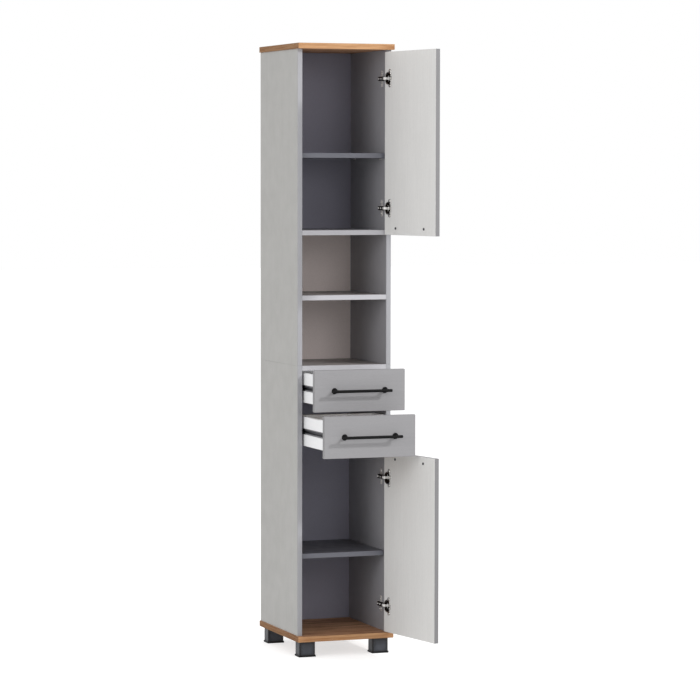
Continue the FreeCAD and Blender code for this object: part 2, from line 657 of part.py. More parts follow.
def handle_screws(z):
    return [screw(V(x, FACE_Y + BOARD, z), -Y_DIR, BOARD + HANDLE_BITE,
                  HANDLE_SCREW, HANDLE_HEAD, HANDLE_HEAD_H)
            for x in (-HOLE_SPAN / 2, HOLE_SPAN / 2)]


def handle_holes(z):
    return [stud(HANDLE_SCREW, V(x, FACE_Y, z), Y_DIR, BOARD)
            for x in (-HOLE_SPAN / 2, HOLE_SPAN / 2)]


# ------------------------------------------------------------------ doors
def swung(shape):
    turned = shape.copy()
    turned.rotate(PIVOT, Z_DIR, DOOR_ANGLE)
    return turned


for name, z0, grip_z in (("upper", UPPER_DOOR_Z, UPPER_DOOR_Z + DOOR_HANDLE),
                         ("lower", LOWER_DOOR_Z, LOWER_DOOR_Z + DOOR_H - DOOR_HANDLE)):
    panel = board(-FRONT_W / 2, FRONT_W / 2, FACE_Y, -FRONT_GAP, z0, z0 + DOOR_H)
    cups, pins, cup_screws, cuts = [], [], [], handle_holes(grip_z)
    for z in HINGES[name]:
        centre = PIVOT + V(CUP_X, CUP_BOTTOM - CUP_FLOOR, z)
        cuts.append(rod(CUP_R, centre, Y_DIR, CUP_DEEP + CUP_FLOOR))
        cups.append(at_hinge(cup_shape, z))
        pins.append(at_hinge(pin_shape, z))
        for dz in (-CUP_SCREW, CUP_SCREW):
            seat = PIVOT + V(CUP_X - FLANGE_SHIFT, DOOR_FACE + FLANGE_T, z + dz)
            cup_screws.append(screw(seat, -Y_DIR, FLANGE_T + SCREW_BITE, high=FLAT_HEAD_H))
            cuts.append(screw_hole(seat, -Y_DIR, FLANGE_T + SCREW_BITE))
    keep(name + "_door_panel", swung(panel.cut(cuts)))
    keep(name + "_hinge_cups", [swung(s) for s in cups])
    keep(name + "_hinge_pins", [swung(s) for s in pins])
    keep(name + "_cup_screws", [swung(s) for s in cup_screws])
    keep(name + "_door_handle", swung(handle(grip_z)))
    keep(name + "_door_handle_screws", [swung(s) for s in handle_screws(grip_z)])

# ------------------------------------------------------------------ drawers
for name, z0, pull in (("upper", UPPER_FRONT_Z, UPPER_PULL), ("lower", LOWER_FRONT_Z, LOWER_PULL)):
    out = V(0, -pull, 0)
    box_z = z0 + BOX_UP
    runner_z = z0 + RUNNER_UP
    rear = -FRONT_GAP + BOX_L
    inner_x = BOX_X - BOX_T
    bottom_z = box_z + BOTTOM_UP
    bottom = box(-inner_x - GROOVE, inner_x + GROOVE, -FRONT_GAP - GROOVE, rear,
                 bottom_z, bottom_z + PANEL)
    front = board(-FRONT_W / 2, FRONT_W / 2, FACE_Y, -FRONT_GAP, z0, z0 + DRAWER_H)
    side = board(inner_x, BOX_X, -FRONT_GAP, rear, box_z, box_z + BOX_H)
    groove = box(INNER - SLIDE_TO, BOX_X + 1, -FRONT_GAP - 1, rear + 1,
                 runner_z - RAIL_H / 2 - RUNNER_PLAY, runner_z + RAIL_H / 2 + RUNNER_PLAY)
    back = board(-inner_x, inner_x, rear - BOX_T, rear, bottom_z + PANEL, box_z + BOX_H)
    fixings, cuts = [], []
    for level in (box_z + BOX_PIN_LOW, box_z + BOX_H - BOX_PIN_HIGH):
        seat = V(BOX_X, rear - BOX_T / 2, level)
        fixings.append(screw(seat, -X_DIR, BOX_T + BOX_SCREW))
        cuts.append(screw_hole(seat, -X_DIR, BOX_T + BOX_SCREW))
        peg = stud(BOX_PEG_R, V(BOX_X - BOX_T / 2, -FRONT_GAP - BOX_PEG_IN, level), Y_DIR, DOWEL_L)
        fixings.append(peg)
        cuts.append(peg)
    for y in SLIDE_SCREW_YS:
        seat = V(INNER - SLIDE_TO + RAIL_T, y, runner_z)
        fixings.append(screw(seat, -X_DIR, RAIL_T + SLIDE_BITE, high=FLAT_HEAD_H, head=SLIDE_HEAD))
        cuts.append(screw_hole(seat, -X_DIR, RAIL_T + SLIDE_BITE))
    cuts = cuts + [mirror(s) for s in cuts]
    fixings = fixings + [mirror(s) for s in fixings]
    runner = slide_shape.translated(V(0, 0, runner_z))
    grip_z = z0 + DRAWER_H / 2
    pieces = {
        "_drawer_front": [front.cut(cuts + [bottom] + handle_holes(grip_z))],
        "_drawer_left_side": [mirror(side.cut(groove)).cut(cuts + [bottom])],
        "_drawer_right_side": [side.cut(groove).cut(cuts + [bottom])],
        "_drawer_back": [back.cut(cuts)],
        "_drawer_bottom": [bottom],
        "_drawer_slides": [runner, mirror(runner)],
        "_drawer_fixings": fixings,
        "_drawer_handle": [handle(grip_z)],
        "_drawer_handle_screws": handle_screws(grip_z),
    }
    for suffix, shapes in pieces.items():
        keep(name + suffix, [s.translated(out) for s in shapes])
    cage = cage_shape.translated(V(0, -pull / 2, runner_z))
    keep(name + "_ball_cages", [cage, mirror(cage)])

# ------------------------------------------------------------------ origin and export
everything = Part.makeCompound([shape for shapes in nodes.values() for shape in shapes])
space = everything.BoundBox
to_origin = V(-(space.XMin + space.XMax) / 2, -(space.YMin + space.YMax) / 2, -space.ZMin)
for name, shapes in nodes.items():
    moved = [shape.translated(to_origin) for shape in shapes]
    whole = moved[0] if len(moved) == 1 else Part.makeCompound(moved)
    whole.exportStep("parts/" + name + ".step")
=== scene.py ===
import bpy, bmesh, json, math, random
import numpy as np
from mathutils import Vector, Matrix


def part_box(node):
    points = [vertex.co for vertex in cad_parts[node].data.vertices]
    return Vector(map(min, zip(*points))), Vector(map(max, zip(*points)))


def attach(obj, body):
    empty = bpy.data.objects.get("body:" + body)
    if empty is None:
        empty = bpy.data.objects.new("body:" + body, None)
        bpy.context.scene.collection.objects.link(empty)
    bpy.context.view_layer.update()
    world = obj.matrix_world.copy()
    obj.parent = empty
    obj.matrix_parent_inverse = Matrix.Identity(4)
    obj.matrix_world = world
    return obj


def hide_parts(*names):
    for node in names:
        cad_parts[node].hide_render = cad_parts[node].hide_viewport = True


# Tall bathroom cabinet. This dresses the CAD's pieces, puts round screws in place of the plain ones, and adds
# the floor, the lights and the camera.
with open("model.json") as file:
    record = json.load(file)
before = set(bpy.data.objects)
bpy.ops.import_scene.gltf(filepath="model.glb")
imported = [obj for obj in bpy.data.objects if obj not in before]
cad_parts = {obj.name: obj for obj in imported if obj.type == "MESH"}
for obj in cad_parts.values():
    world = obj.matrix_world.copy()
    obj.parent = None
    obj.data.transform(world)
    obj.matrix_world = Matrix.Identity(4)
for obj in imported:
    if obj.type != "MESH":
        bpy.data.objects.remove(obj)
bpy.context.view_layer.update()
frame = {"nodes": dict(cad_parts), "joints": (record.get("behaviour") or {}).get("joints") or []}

# The carcass's own centre line, back plane and front plane.
top_lo, top_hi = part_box("top_board")
MID_X = (top_lo.x + top_hi.x) / 2
BACK_Y = top_hi.y
FRONT_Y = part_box("left_side_lower")[0].y

# The doors stand open by the angle that they turn back to close.
hinge = next(joint for joint in frame["joints"] if joint["name"] == "upper_door_hinge")
DOOR_ANGLE = math.radians(-hinge["range_deg"][0])


def srgb(*values):
    """Linear colour from 0-255 screen values."""
    out = []
    for v in values:
        v = v / 255.0
        out.append(v / 12.92 if v <= 0.04045 else ((v + 0.055) / 1.055) ** 2.4)
    return out + [1.0]


def grey(v):
    """Linear grey."""
    return [v, v, v, 1.0]


def tone(colour, k):
    """A colour made k times as bright."""
    return [min(1.0, v * k) for v in colour[:3]] + [1.0]


def between(a, b, k):
    """The colour that lies k of the way from a to b."""
    return [x + (y - x) * k for x, y in zip(a, b)]


# ------------------------------------------------------------------ materials
LOW, HIGH = 0.3, 0.7     # nearly all of a noise pattern lies between these


class Look:
    """Small builder round a node material."""

    def __init__(self, name):
        self.material = bpy.data.materials.new(name)
        self.material.use_nodes = True
        self.tree = self.material.node_tree
        self.shader = self.tree.nodes["Principled BSDF"]
        self.coord = self.tree.nodes.new("ShaderNodeTexCoord")

    def node(self, kind, **props):
        """A new node; each keyword sets a socket, or else a property, of that name."""
        n = self.tree.nodes.new(kind)
        for name, value in props.items():
            if name in n.inputs:
                n.inputs[name].default_value = value
            else:
                setattr(n, name, value)
        return n

    def feed(self, socket, value):
        """Gives a socket a plain value, or links it to another node's output."""
        if isinstance(value, (int, float, list, tuple)):
            socket.default_value = value
        else:
            self.tree.links.new(value, socket)

    def set(self, **sockets):
        """Feeds the shader's sockets, by name with _ for a space."""
        for name, value in sockets.items():
            self.feed(self.shader.inputs[name.replace("_", " ")], value)

    def space(self, scale=(1, 1, 1), place=(0, 0, 0)):
        """Object coordinates, scaled and shifted."""
        n = self.node("ShaderNodeMapping", Scale=scale, Location=place)
        self.feed(n.inputs["Vector"], self.coord.outputs["Object"])
        return n.outputs["Vector"]

    def noise(self, space, scale, detail, rough=0.5, distortion=0.0):
        shape = {"Scale": scale, "Detail": detail, "Roughness": rough, "Distortion": distortion}
        n = self.node("ShaderNodeTexNoise", **shape)
        self.feed(n.inputs["Vector"], space)
        return n.outputs["Fac"]

    def ramp(self, fac, *stops):
        """Colour ramp; each stop is (position, colour)."""
        n = self.node("ShaderNodeValToRGB")
        elements = n.color_ramp.elements
        while len(elements) < len(stops):
            elements.new(0.5)
        for element, (position, colour) in zip(elements, stops):
            element.position = position
            element.color = colour
        self.feed(n.inputs["Fac"], fac)
        return n.outputs["Color"]

    def spread(self, fac, first, last, low=LOW, high=HIGH):
        """A value that goes from first to last as fac goes from low to high."""
        n = self.node("ShaderNodeMapRange")
        for name, value in (("From Min", low), ("From Max", high), ("To Min", first), ("To Max", last)):
            n.inputs[name].default_value = value
        self.feed(n.inputs["Value"], fac)
        return n.outputs["Result"]

    def mix(self, fac, a, b, mode="MIX"):
        """Mix of two colours."""
        n = self.node("ShaderNodeMix", data_type="RGBA", blend_type=mode)
        colours = [s for s in n.inputs if s.type == "RGBA"]
        for socket, value in ((n.inputs[0], fac), (colours[0], a), (colours[1], b)):
            self.feed(socket, value)
        return [s for s in n.outputs if s.type == "RGBA"][0]

    def math(self, operation, a, b):
        n = self.node("ShaderNodeMath", operation=operation)
        self.feed(n.inputs[0], a)
        self.feed(n.inputs[1], b)
        return n.outputs[0]

    def weigh(self, a, b, share):
        """Two patterns added, with a's share of the sum."""
        return self.math("ADD", self.math("MULTIPLY", a, share), self.math("MULTIPLY", b, 1 - share))

    def edge(self, reach=0.0022):
        """1 along a piece's edges, 0 on its faces."""
        bevel = self.node("ShaderNodeBevel", samples=4, Radius=reach)
        own = self.node("ShaderNodeNewGeometry")
        dot = self.node("ShaderNodeVectorMath", operation="DOT_PRODUCT")
        self.feed(dot.inputs[0], bevel.outputs["Normal"])
        self.feed(dot.inputs[1], own.outputs["Normal"])
        return self.spread(dot.outputs["Value"], 1.0, 0.0, low=0.88, high=0.99)

    def bump(self, height, strength, distance, rounded=0.0):
        """Fine relief, over a normal that turns softly round the edges where rounded is given."""
        n = self.node("ShaderNodeBump", Strength=strength, Distance=distance)
        self.feed(n.inputs["Height"], height)
        if rounded:
            soft = self.node("ShaderNodeBevel", samples=8, Radius=rounded)
            self.feed(n.inputs["Normal"], soft.outputs["Normal"])
        self.set(Normal=n.outputs["Normal"])


def along(axis, run, cross):
    """Mapping scale that draws a pattern out along one axis."""
    return [run if letter == axis else cross for letter in "xyz"]


def laminate(name, colour, axis="z", rough=0.42, swing=0.03, rim=0.84):
    """Melamine board: faint fibre drawn out along the board, pearly pores, rubbed edges darkened by rim as a
    painted shade line.
    """
    look = Look(name)
    cloud = look.noise(look.space(), scale=3.5, detail=4, rough=0.55, distortion=0.3)
    streak = look.noise(look.space(along(axis, 1.6, 42)), scale=4.0, detail=5, rough=0.6, distortion=0.2)
    pores = look.noise(look.space(along(axis, 90, 1100)), scale=1.0, detail=2, rough=0.6)
    mottle = look.weigh(cloud, streak, 0.45)
    base = look.ramp(mottle, (0.36, tone(colour, 1 - swing)), (0.64, tone(colour, 1 + swing)))
    fibre = look.mix(1.0, base, look.ramp(pores, (0.35, grey(0.95)), (0.6, grey(1))), "MULTIPLY")
    # edges darkened by rim: rubbing, and a painted shade line along them
    look.set(Base_Color=look.mix(look.edge(), fibre, tone(colour, rim)), Specular_IOR_Level=0.3)
    rubbed = look.noise(look.space(), scale=22.0, detail=3)
    look.set(Roughness=look.spread(rubbed, rough - 0.06, rough + 0.08))
    look.bump(look.math("ADD", pores, streak), strength=0.08, distance=0.0002)
    return look.material


def oak(name, light, dark, axis="x", shift=0.0, soft=1.0):
    """Oak-pattern board: drawn-out fibres, slow bands, fine open pores; its streaks grow weaker with soft."""
    look = Look(name)
    place = (shift, shift * 0.7, shift * 0.3)
    slow, drawn, thin = (look.space(along(axis, *k), place) for k in ((0.8, 16), (3.0, 70), (8, 520)))
    bands = look.noise(slow, scale=2.4, detail=3, distortion=0.9)
    fibre = look.noise(drawn, scale=4.0, detail=6, rough=0.62, distortion=0.3)
    fine = look.noise(thin, scale=3.0, detail=3, rough=0.7)
    middle = between(dark, light, 0.55)
    grain = look.weigh(bands, fibre, 0.5)
    base = look.ramp(grain, (0.5 - 0.17 * soft, dark), (0.5, middle), (0.5 + 0.2 * soft, light))
    pores = look.ramp(fine, (0.36, [0.80, 0.73, 0.66, 1]), (0.5, grey(1)))
    colour = look.mix(1.0, base, pores, "MULTIPLY")
    # its edges darkened as a painted shade line
    look.set(Base_Color=look.mix(look.edge(), colour, tone(middle, 0.8)), Specular_IOR_Level=0.18)
    look.set(Roughness=look.spread(fine, 0.8, 0.66))
    look.bump(fine, strength=0.2, distance=0.0003)
    return look.material


def metal(name, colour, rough, drawn=(60, 60, 900), swing=0.12, rim=1.25, metallic=1.0, rounded=0.0):
    """Plated steel: fine drawn lines, dull patches, rubbed edges, softly rounded ones where asked."""
    look = Look(name)
    lines = look.noise(look.space(drawn), scale=1.0, detail=3, rough=0.6)
    patch = look.noise(look.space(), scale=70.0, detail=3)
    base = look.ramp(patch, (LOW, tone(colour, 1 - swing)), (HIGH, colour))
    look.set(Base_Color=look.mix(look.edge(0.0004), base, tone(colour, rim)), Metallic=metallic)
    dull = look.spread(patch, -0.03, 0.05, low=0.0, high=1.0)
    look.set(Roughness=look.math("ADD", look.spread(lines, rough - 0.07, rough + 0.09), dull))
    look.bump(lines, strength=0.12, distance=0.0001, rounded=rounded)
    return look.material


def powder(name, colour, rough, specular, grain=1500.0, rim=1.7, reach=0.0008):
    """Powder coat or moulded plastic: fine orange-peel grain, rubbed patches and edges."""
    look = Look(name)
    peel = look.noise(look.space(), scale=grain, detail=3, rough=0.6)
    rub = look.noise(look.space(), scale=30.0, detail=3)
    base = look.ramp(rub, (LOW, tone(colour, 0.8)), (HIGH, tone(colour, 1.25)))
    look.set(Base_Color=look.mix(look.edge(reach), base, tone(colour, rim)), Specular_IOR_Level=specular)
    look.set(Roughness=look.spread(rub, rough - 0.06, rough + 0.08))
    look.bump(peel, strength=0.18, distance=0.00015)
    return look.material


def hardboard(name, colour):
    """Thin painted back panel: faint felt-like fibre."""
    look = Look(name)
    fibre = look.noise(look.space(), scale=260.0, detail=5, rough=0.7, distortion=0.6)
    cloud = look.noise(look.space(), scale=4.0, detail=3)
    base = look.ramp(cloud, (LOW, tone(colour, 0.95)), (HIGH, tone(colour, 1.05)))
    felt = look.ramp(fibre, (0.3, grey(0.92)), (0.6, grey(1)))
    look.set(Base_Color=look.mix(1.0, base, felt, "MULTIPLY"), Specular_IOR_Level=0.25)
    look.set(Roughness=look.spread(fibre, 0.5, 0.66))
    look.bump(fibre, strength=0.15, distance=0.0002)
    return look.material


# Boards
GREY_SIDE = laminate("grey_side", srgb(172, 171, 168))
GREY_EDGE = laminate("grey_edge", srgb(160, 160, 164), rough=0.38)
NICHE_EDGE = laminate("niche_edge", srgb(182, 181, 185), "x", rough=0.38)
GREY_FRONT = laminate("grey_front", srgb(147, 146, 148), "x")
FRONT_EDGE = laminate("front_edge", srgb(129, 128, 130), rough=0.38)
DOOR_INNER = laminate("door_inner", srgb(226, 225, 223))
DOOR_OUTER = laminate("door_outer", srgb(150, 149, 151))
SHADE = laminate("inside_grey", srgb(150, 149, 153))
NICHE = laminate("inside_niche", srgb(138, 132, 130), "x")
# shelves and their front edges behind the doors: darker than the niche's board, as painted shade
SHELF_SHADED = laminate("shelf_grey_shaded", srgb(94, 94, 101), "x")
SHELF_EDGE_SHADED = laminate("shelf_edge_shaded", srgb(111, 112, 120), "x", rough=0.38)
WHITE = laminate("white_board", srgb(245, 245, 246), "y", rough=0.4, swing=0.01, rim=0.9)
# One back board in three tones of painted light and shade: the niche's much paler as painted light, those
# behind the doors darker as painted shade, and the lower a little paler than the upper to make up for less
# lamp light low down
BACK_UPPER_SHADED = hardboard("back_upper_shaded", srgb(146, 144, 158))
BACK_LOWER_SHADED = hardboard("back_lower_shaded", srgb(154, 153, 168))
BACK_NICHE_LIT = hardboard("back_niche_lit", srgb(246, 233, 229))
RAW = hardboard("raw_board", srgb(150, 120, 88))

# Wood
OAK_LIGHT, OAK_DEEP = srgb(200, 157, 116), srgb(158, 109, 71)
OAK_FACE = oak("oak_face", srgb(216, 172, 137), srgb(134, 88, 61), soft=0.6)
OAK_EDGE = oak("oak_edge", OAK_LIGHT, OAK_DEEP, shift=0.35, soft=0.6)
# the boards' end faces: the same oak made darker, as painted shade
OAK_END_SHADED = oak("oak_end_shaded", tone(OAK_LIGHT, 0.64), tone(OAK_DEEP, 0.6), "y", shift=0.8, soft=0.7)
BEECH = oak("beech", srgb(214, 176, 130), srgb(186, 142, 98), "z")

# Fittings
NICKEL = metal("nickel", srgb(214, 212, 208), 0.26)
# painted highlight: a near-white, little-metallic nickel that stands for the glint on the front of a hinge
# arm
SATIN_HIGHLIGHT = metal("satin_nickel_highlight", srgb(252, 250, 247), 0.36, swing=0.03, rim=1.0, metallic=0.15)
FLANGE = metal("flange_nickel", srgb(236, 234, 230), 0.2, swing=0.04, rim=1.05, rounded=0.005)
# painted shade: a dark steel that stands for the shade on the hinge arms and in and round the hinge cups
STEEL_SHADED = metal("hinge_steel_shaded", srgb(48, 42, 38), 0.38, rim=1.1)
PLATE_STEEL = metal("plate_steel", srgb(214, 210, 206), 0.42, metallic=0.35)
ZINC = metal("zinc", srgb(178, 182, 186), 0.34)
# painted shade: steel made dark for the runners, rails, slides and ball cages, which lie in shade
RUNNER_SHADED = metal("runner_steel_shaded", srgb(60, 60, 64), 0.4, drawn=(60, 900, 60))
BURNISHED = metal("burnished_screw", srgb(86, 86, 90), 0.42)
BLACK = powder("black_metal", srgb(8, 8, 9), 0.5, specular=0.12)
PLASTIC = powder("black_plastic", srgb(10, 10, 11), 0.5, specular=0.2, grain=900.0, rim=1.2)
# a foot's flat wall: the black plastic painted a lighter grey as a painted sheen, which darkens over a wide
# strip towards its corners
PLASTIC_SHEEN = powder("black_plastic_sheen", srgb(62, 64, 70), 0.42, specular=0.3, grain=900.0,
                      rim=0.03, reach=0.022)


# ------------------------------------------------------------------ dressing the CAD pieces
def paint(node, base, *rules):
    """Base material on a CAD piece, with others on the faces that a rule (test, material) picks."""
    mesh = frame["nodes"][node].data
    mesh.materials.clear()
    for material in [base] + [material for _, material in rules]:
        mesh.materials.append(material)
    for face in mesh.polygons:
        face.material_index = 0
        for i, (test, _) in enumerate(rules):
            if test(face.normal, face.center):
                face.material_index = i + 1
                break


def facing(direction, least=0.6):
    """Test for a face that looks a way: it has at least this much of its normal there."""
    way = Vector(direction).normalized()
    return lambda normal, centre: normal.dot(way) > least


front, rear = facing((0, -1, 0)), facing((0, 1, 0))
up, down = facing((0, 0, 1)), facing((0, 0, -1))
left, right = facing((-1, 0, 0)), facing((1, 0, 0))
outward = {"left": left, "right": right}
inward = {"left": right, "right": left}
# the way that the open doors' inner faces look
door_way = Vector((-math.sin(DOOR_ANGLE), math.cos(DOOR_ANGLE), 0))
door_inside, door_outside = facing(door_way, 0.7), facing(-door_way, 0.7)

SQUARE_ON = 0.995                # least share of the normal for a flat wall, without its rounded corners
LIP_TOP = 0.006                  # just above the lip at the bottom of a foot
ARM_Y = FRONT_Y - 0.001          # the front of a hinge arm, in front of this, carries a painted highlight
GROOVE_IN = 0.003                # a drawer side's faces further in than this lie in its groove


def ends(normal, centre):
    return left(normal, centre) or right(normal, centre)


def foot_wall(normal, centre):
    return max(abs(normal.x), abs(normal.y)) > SQUARE_ON and centre.z > LIP_TOP


def arm_front(normal, centre):
    return centre.y < ARM_Y


def in_groove(side, outer_x):
    """Test for the bottom of the groove that is milled in a drawer side's outer face."""
    return lambda normal, centre: outward[side](normal, centre) and abs(centre.x - outer_x) > GROOVE_IN


for side in ("left", "right"):
    for half in ("lower", "upper"):
        paint(f"{side}_side_{half}", GREY_SIDE, (front, GREY_EDGE), (inward[side], SHADE), (rear, GREY_EDGE))
paint("upper_divider", SHADE, (front, NICHE_EDGE), (down, NICHE))
paint("niche_shelf", NICHE, (front, NICHE_EDGE))
paint("niche_floor", SHADE, (front, NICHE_EDGE), (up, NICHE))
paint("upper_shelf", SHELF_SHADED, (front, SHELF_EDGE_SHADED))
paint("lower_shelf", SHELF_SHADED, (front, SHELF_EDGE_SHADED))
paint("upper_back_panel", RAW, (front, BACK_UPPER_SHADED))
paint("niche_back_panel", RAW, (front, BACK_NICHE_LIT))
paint("lower_back_panel", RAW, (front, BACK_LOWER_SHADED))
for node in ("top_board", "bottom_board"):
    paint(node, OAK_FACE, (front, OAK_EDGE), (rear, OAK_EDGE), (ends, OAK_END_SHADED))
for node in ("foot_front_left", "foot_front_right", "foot_rear_left", "foot_rear_right"):
    paint(node, PLASTIC, (foot_wall, PLASTIC_SHEEN))
for node in ("foot_screws", "hinge_screws", "cam_bolts"):
    paint(node, ZINC)
# the cams' faces carry caps in the boards' own colour
paint("cam_locks", ZINC, (ends, SHADE), (down, SHADE))
for node in ("runner_rails", "runner_rail_screws"):
    paint(node, RUNNER_SHADED)
paint("shelf_pins", NICKEL)
# hinge arms: dark steel as painted shade, with a painted highlight on the part in front of the carcass
paint("hinge_arms", STEEL_SHADED, (arm_front, SATIN_HIGHLIGHT))
paint("hinge_plates", PLATE_STEEL)
paint("wooden_dowels", BEECH)

for level in ("upper", "lower"):
    paint(f"{level}_door_panel", FRONT_EDGE, (door_inside, DOOR_INNER), (door_outside, DOOR_OUTER))
    # hinge cups: dark steel as painted shade, with bright nickel only on the faces towards the door's inside
    paint(f"{level}_hinge_cups", STEEL_SHADED, (door_inside, FLANGE))
    for group in ("hinge_pins", "cup_screws", "drawer_fixings"):
        paint(f"{level}_{group}", ZINC)
    for group in ("drawer_slides", "ball_cages"):
        paint(f"{level}_{group}", RUNNER_SHADED)
    for leaf in ("door", "drawer"):
        paint(f"{level}_{leaf}_handle", BLACK)
        paint(f"{level}_{leaf}_handle_screws", BURNISHED)
    paint(f"{level}_drawer_front", FRONT_EDGE, (front, GREY_FRONT), (rear, DOOR_INNER))
    paint(f"{level}_drawer_back", WHITE)
    paint(f"{level}_drawer_bottom", WHITE, (down, RAW))
    for side in ("left", "right"):
        node = f"{level}_drawer_{side}_side"
        lo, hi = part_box(node)
        # the groove shows the board's core, painted in the darker inside grey as painted shade in the recess
        paint(node, WHITE, (in_groove(side, lo.x if side == "left" else hi.x), SHADE))


# ------------------------------------------------------------------ screws, with recess and thread
SIDES = 24               # round a screw
PITCH = 0.0011           # from one turn of thread to the next
BARE = 0.0008            # plain shank under the head
POINT = 2.2              # unthreaded length at the point, in shank radii
# outline of the head: radius and depth, as shares of the head's own
HEAD = ((0.62, 0.0), (0.84, 0.12), (0.97, 0.42), (1.0, 0.75), (0.98, 1.0))
# outline of one turn of thread: radius as a share of the shank's, and depth as a share of the pitch
ROOT, CREST = 0.76, 1.0
THREAD = ((ROOT, 0.35), (CREST, 0.75), (CREST, 0.85))
RUN_OUT = 0.3            # where the last turn ends, as a share of the pitch
TIP = 0.1                # the point's radius, as a share of the shank's
# cross recess: sizes as shares of the head's radius, and the most of the head's height that it may take
ARM_REACH, ARM_HALF_WIDTH, ARM_DEPTH = 0.55, 0.13, 0.6
MOST_DEPTH = 0.8
TAPER_LONG, TAPER_WIDE = 0.45, 0.8      # the recess's floor as a share of its rim, along an arm and across it
PROUD = 0.0002           # the recess's cutter starts this far above the head
SLIM = 0.985             # keeps a round screw inside the many-sided one that it replaces
SAME_SPOT = 1e-6         # corners this close together are one
SAME_RING = 1e-5         # corners this close along or across a screw belong to one ring


def solids_of(node):
    """The corner points of each separate solid in a CAD node, in the row frame, in a fixed order."""
    obj = frame["nodes"][node]
    bm = bmesh.new()
    bm.from_mesh(obj.data)
    bmesh.ops.remove_doubles(bm, verts=bm.verts, dist=SAME_SPOT)
    found, seen = [], set()
    for start in bm.verts:
        if start in seen:
            continue
        seen.add(start)
        queue, points = [start], []
        while queue:
            vert = queue.pop()
            points.append(tuple(obj.matrix_world @ vert.co))
            for edge in vert.link_edges:
                other = edge.other_vert(vert)
                if other not in seen:
                    seen.add(other)
                    queue.append(other)
        found.append(np.array(points))
    bm.free()
    return sorted(found, key=lambda points: tuple(np.round(points.mean(axis=0), 5)))


def new_mesh(name, build, *sizes):
    """The mesh that build(bm, *sizes) makes, with its faces turned outward."""
    bm = bmesh.new()
    build(bm, *sizes)
    bmesh.ops.recalc_face_normals(bm, faces=bm.faces)
    mesh = bpy.data.meshes.new(name)
    bm.to_mesh(mesh)
    bm.free()
    return mesh


def turned_screw(bm, head_r, head_h, shank_r, length):
    """Pan head and threaded shank in one turned body, with the head's top at z = 0."""
    rings = [(head_r * r, -head_h * deep) for r, deep in HEAD]
    rings.append((shank_r, -head_h))
    z = -head_h - BARE
    while z - PITCH > POINT * shank_r - length:
        rings += [(shank_r * r, z - deep * PITCH) for r, deep in THREAD]
        z -= PITCH
    rings += [(shank_r * ROOT, z - RUN_OUT * PITCH), (shank_r * TIP, -length)]
    turns = [2 * math.pi * i / SIDES for i in range(SIDES)]
    loops = [[bm.verts.new((r * math.cos(t), r * math.sin(t), z)) for t in turns] for r, z in rings]
    for a, b in zip(loops, loops[1:]):
        for i in range(SIDES):
            j = (i + 1) % SIDES
            bm.faces.new((a[i], b[i], b[j], a[j]))
    bm.faces.new(loops[0])
    bm.faces.new(loops[-1][::-1])


def cross_cutter(bm, head_r, head_h):
    """Two crossed bars that taper downward, in the shape of a cross recess."""
    reach, half_width = head_r * ARM_REACH, head_r * ARM_HALF_WIDTH
    depth = min(head_h * MOST_DEPTH, head_r * ARM_DEPTH)
    rim = [(-reach, -half_width), (reach, -half_width), (reach, half_width), (-reach, half_width)]
    corners = [(x, y, PROUD) for x, y in rim]
    corners += [(x * TAPER_LONG, y * TAPER_WIDE, -depth) for x, y in rim]
    for turn in (0, math.pi / 2):
        c, s = math.cos(turn), math.sin(turn)
        verts = [bm.verts.new((x * c - y * s, x * s + y * c, z)) for x, y, z in corners]
        bm.faces.new(verts[:4])
        bm.faces.new(verts[4:][::-1])
        for i in range(4):
            j = (i + 1) % 4
            bm.faces.new((verts[i], verts[4 + i], verts[4 + j], verts[j]))


def cut(body, cutter):
    """What is left of one mesh when another is taken from it."""
    objs = [bpy.data.objects.new(mesh.name, mesh) for mesh in (body, cutter)]
    for obj in objs:
        bpy.context.scene.collection.objects.link(obj)
    mod = objs[0].modifiers.new("cut", "BOOLEAN")
    mod.object, mod.operation, mod.solver, mod.use_self = objs[1], "DIFFERENCE", "EXACT", True
    bpy.context.view_layer.update()
    solved = objs[0].evaluated_get(bpy.context.evaluated_depsgraph_get())
    made = bpy.data.meshes.new_from_object(solved)
    for obj in objs:
        bpy.data.objects.remove(obj)
    return made


made_screws = {}


def screw_mesh(*sizes):
    """Pan-head screw of (head radius, head height, shank radius, length), made once for each set of sizes."""
    key = tuple(round(size, 6) for size in sizes)
    if key not in made_screws:
        body = new_mesh("screw", turned_screw, *sizes)
        made_screws[key] = cut(body, new_mesh("recess", cross_cutter, *sizes[:2]))
    return made_screws[key]


def measure(points):
    """The middle of a plain screw's head top, the way the head points, and the sizes for screw_mesh."""
    centre = points.mean(axis=0)
    off = points - centre
    axis = np.linalg.eigh(off.T @ off)[1][:, -1]         # the screw's long axis
    t = off @ axis                                       # how far along it each point lies
    r = np.linalg.norm(off - np.outer(t, axis), axis=1)
    if r[t > t.max() - SAME_RING].max() < r[t < t.min() + SAME_RING].max():
        axis, t = -axis, -t
    head_r, shank_r = r.max(), r[t < t.min() + SAME_RING].max()
    head_h = t.max() - t[r > head_r - SAME_RING].min()
    sizes = float(head_r) * SLIM, float(head_h), float(shank_r) * SLIM, float(t.max() - t.min())
    return Vector(centre + axis * t.max()), Vector(axis), sizes


